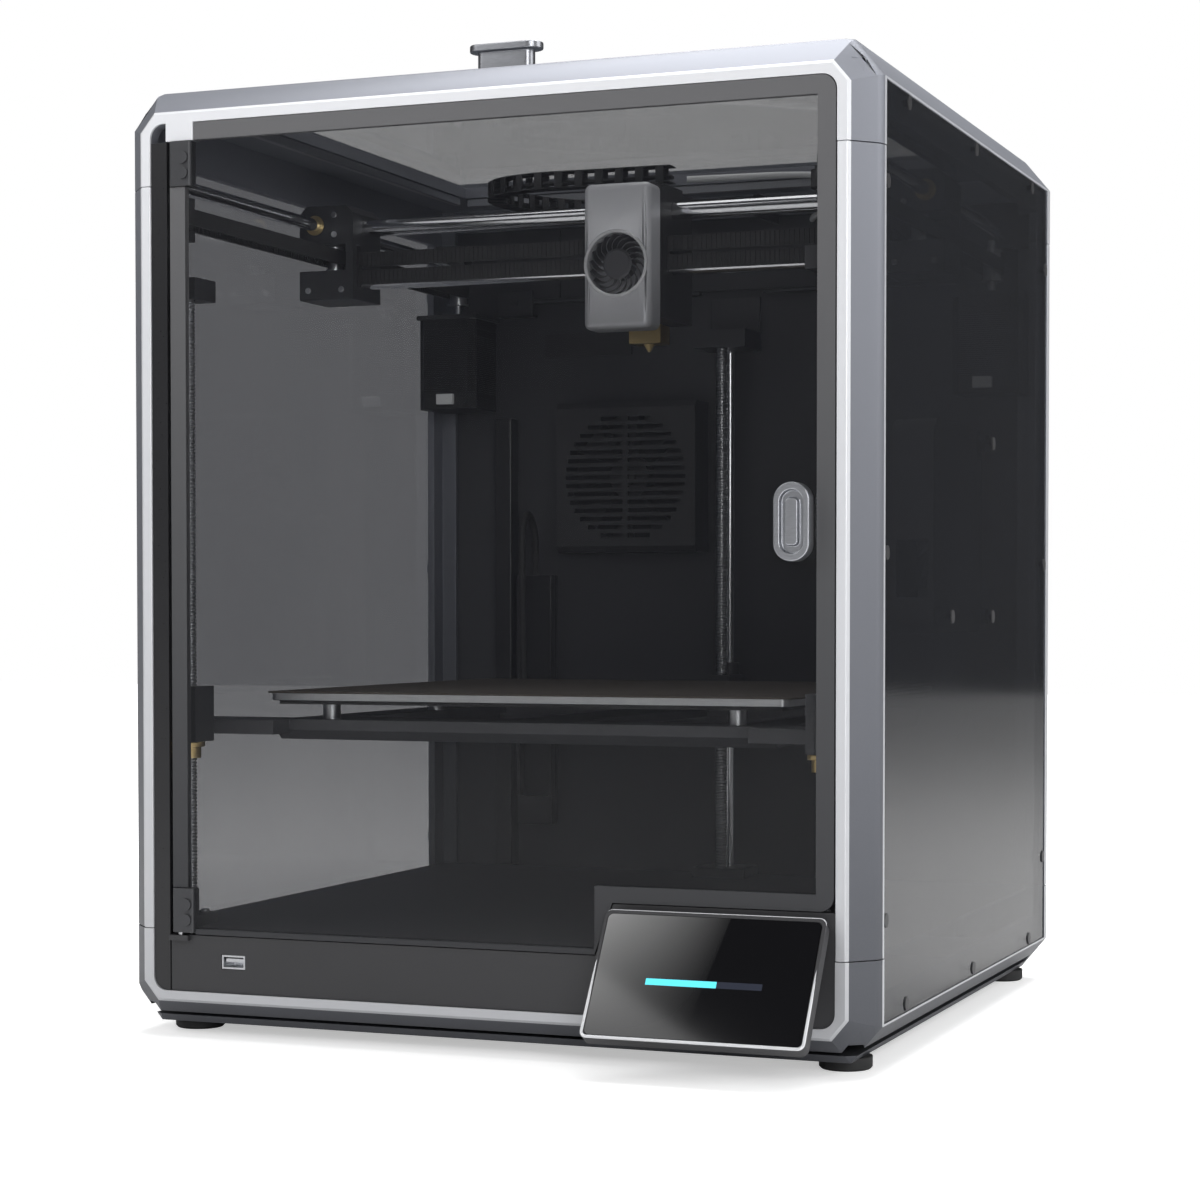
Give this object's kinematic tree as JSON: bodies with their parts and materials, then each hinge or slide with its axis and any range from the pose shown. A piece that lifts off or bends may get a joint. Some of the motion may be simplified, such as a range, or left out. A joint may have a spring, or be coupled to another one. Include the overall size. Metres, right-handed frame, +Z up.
{
  "type": "fdm printer",
  "caption": "Enclosed desktop filament printer with a glass door, smoked side panels, a lifting bed on three lead screws and a belt-driven tool head.",
  "frame": {"origin": "bottom centre of the printer's box, on the surface it stands on", "axes": "+Z up, +X to the right seen from the door, +Y from the door to the back"},
  "size_m": [0.435, 0.4618, 0.5433],
  "materials": {
    "satin_paint": "satin",
    "dark_paint": "satin",
    "smoked_glass": "gloss",
    "clear_glass": "gloss",
    "screen": "gloss",
    "silver": "satin",
    "chrome": "polished",
    "steel": "brushed",
    "brass": "machined",
    "black_plastic": "matte",
    "head_silver": "satin",
    "rubber": "matte",
    "board": "matte",
    "white_tube": "satin",
    "sheet": "fine grain"
  },
  "bodies": {
    "root": {"top_frame": "satin_paint", "bottom_frame": "satin_paint", "front_columns": "satin_paint", "rear_columns": "satin_paint", "rear_panel": "dark_paint", "side_glass_left": "smoked_glass", "side_glass_right": "smoked_glass", "panel_screws": "steel", "feet": "rubber", "floor_pan": "dark_paint", "lower_fascia": "black_plastic", "usb_socket": "steel", "display_housing": "black_plastic", "display_glass": "screen", "hinge_rail": "dark_paint", "hinge_pins": "steel", "z_bearing_blocks": "dark_paint", "z_rods": "chrome", "stepper_motors": "dark_paint", "z_belt": "rubber", "y_rods": "chrome", "y_rod_mounts": "dark_paint", "y_belts": "rubber", "chamber_fan_box": "black_plastic", "aux_fan_housing": "black_plastic", "power_supply": "steel", "mainboard": "board", "power_inlet": "black_plastic", "cable_chain": "black_plastic", "filament_tube": "white_tube", "bed_cable": "rubber"},
    "door": {"door_glass": "clear_glass", "door_clamps": "steel", "door_handle": "silver"},
    "lid": {"lid_glass": "clear_glass", "lid_handle": "silver"},
    "bed": {"bed_frame": "dark_paint", "bed_standoffs": "steel", "bed_heater": "rubber", "bed_plate": "silver", "build_sheet": "sheet", "nut_blocks": "dark_paint"},
    "screw_front_left": {"z_screw_front_left": "steel"},
    "screw_front_right": {"z_screw_front_right": "steel"},
    "screw_rear": {"z_screw_rear": "steel"},
    "z_drive": {"z_motor_pulley": "steel"},
    "gantry": {"gantry_carriages": "dark_paint", "x_rods": "chrome", "x_belts": "rubber"},
    "carriage_idler_left": {"idler_left": "steel"},
    "carriage_idler_right": {"idler_right": "steel"},
    "drive_left": {"motor_pulley_left": "steel"},
    "drive_right": {"motor_pulley_right": "steel"},
    "head": {"head_body": "black_plastic", "head_cover": "head_silver", "hotend": "brass"},
    "cooling_rotor": {"head_fan": "chrome"},
    "filter_rotor": {"chamber_fan": "black_plastic"},
    "blower_rotor": {"aux_fan": "black_plastic"},
    "rocker": {"power_switch": "black_plastic"}
  },
  "joints": [
    {"name": "door_swing", "type": "hinge", "parent": "root", "child": "door", "pos_m": [-0.181, -0.18305, 0.28], "axis": [0, 0, -1], "range_deg": [0, 120]},
    {"name": "lid_lift", "type": "slide", "parent": "root", "child": "lid", "axis": [0, 0, 1], "range_m": [0, 0.06]},
    {"name": "bed_lift", "type": "slide", "parent": "root", "child": "bed", "axis": [0, 0, 1], "range_m": [-0.085, 0.2]},
    {"name": "screw_front_left_turn", "type": "hinge", "parent": "root", "child": "screw_front_left", "pos_m": [-0.1853, -0.16505, 0.05], "axis": [0, 0, 1], "range_deg": [-9200, 4000]},
    {"name": "screw_front_right_turn", "type": "hinge", "parent": "root", "child": "screw_front_right", "pos_m": [0.1853, -0.16505, 0.05], "axis": [0, 0, 1], "range_deg": [-9200, 4000]},
    {"name": "screw_rear_turn", "type": "hinge", "parent": "root", "child": "screw_rear", "pos_m": [0.006, 0.19895, 0.05], "axis": [0, 0, 1], "range_deg": [-9200, 4000]},
    {"name": "z_drive_turn", "type": "hinge", "parent": "root", "child": "z_drive", "pos_m": [0.12255, -0.03765, 0.05], "axis": [0, 0, 1], "range_deg": [-9200, 4000]},
    {"name": "gantry_travel", "type": "slide", "parent": "root", "child": "gantry", "axis": [0, 1, 0], "range_m": [-0.16, 0.136]},
    {"name": "head_travel", "type": "slide", "parent": "gantry", "child": "head", "axis": [1, 0, 0], "range_m": [-0.153, 0.123]},
    {"name": "idler_left_turn", "type": "hinge", "parent": "gantry", "child": "carriage_idler_left", "pos_m": [-0.1865, 0.01695, 0.455], "axis": [0, 0, 1], "range_deg": [-2000, 2000]},
    {"name": "idler_right_turn", "type": "hinge", "parent": "gantry", "child": "carriage_idler_right", "pos_m": [0.1865, 0.01695, 0.455], "axis": [0, 0, 1], "range_deg": [-2000, 2000]},
    {"name": "drive_left_turn", "type": "hinge", "parent": "root", "child": "drive_left", "pos_m": [-0.1865, 0.20145, 0.455], "axis": [0, 0, 1], "range_deg": [-2000, 2000]},
    {"name": "drive_right_turn", "type": "hinge", "parent": "root", "child": "drive_right", "pos_m": [0.1865, 0.20145, 0.455], "axis": [0, 0, 1], "range_deg": [-2000, 2000]},
    {"name": "cooling_fan_spin", "type": "hinge", "parent": "head", "child": "cooling_rotor", "pos_m": [0.015, -0.01505, 0.44], "axis": [0, 1, 0], "continuous": true},
    {"name": "chamber_fan_spin", "type": "hinge", "parent": "root", "child": "filter_rotor", "pos_m": [-0.063, 0.21495, 0.3275], "axis": [0, 1, 0], "continuous": true},
    {"name": "blower_spin", "type": "hinge", "parent": "root", "child": "blower_rotor", "pos_m": [0.1955, 0.03745, 0.285], "axis": [1, 0, 0], "continuous": true},
    {"name": "power_rocker", "type": "hinge", "parent": "root", "child": "rocker", "pos_m": [0.112, 0.22515, 0.036], "axis": [1, 0, 0], "range_deg": [0, 12]}
  ],
  "couplings": [
    {"joint": "screw_front_left_turn", "follows": "bed_lift", "rad_per_m": -785.4},
    {"joint": "screw_front_right_turn", "follows": "bed_lift", "rad_per_m": -785.4},
    {"joint": "screw_rear_turn", "follows": "bed_lift", "rad_per_m": -785.4},
    {"joint": "z_drive_turn", "follows": "bed_lift", "rad_per_m": -785.4},
    {"joint": "idler_left_turn", "follows": "gantry_travel", "rad_per_m": 196.1},
    {"joint": "idler_right_turn", "follows": "gantry_travel", "rad_per_m": -196.1},
    {"joint": "drive_left_turn", "follows": "gantry_travel", "rad_per_m": 161.3},
    {"joint": "drive_right_turn", "follows": "gantry_travel", "rad_per_m": -161.3}
  ]
}
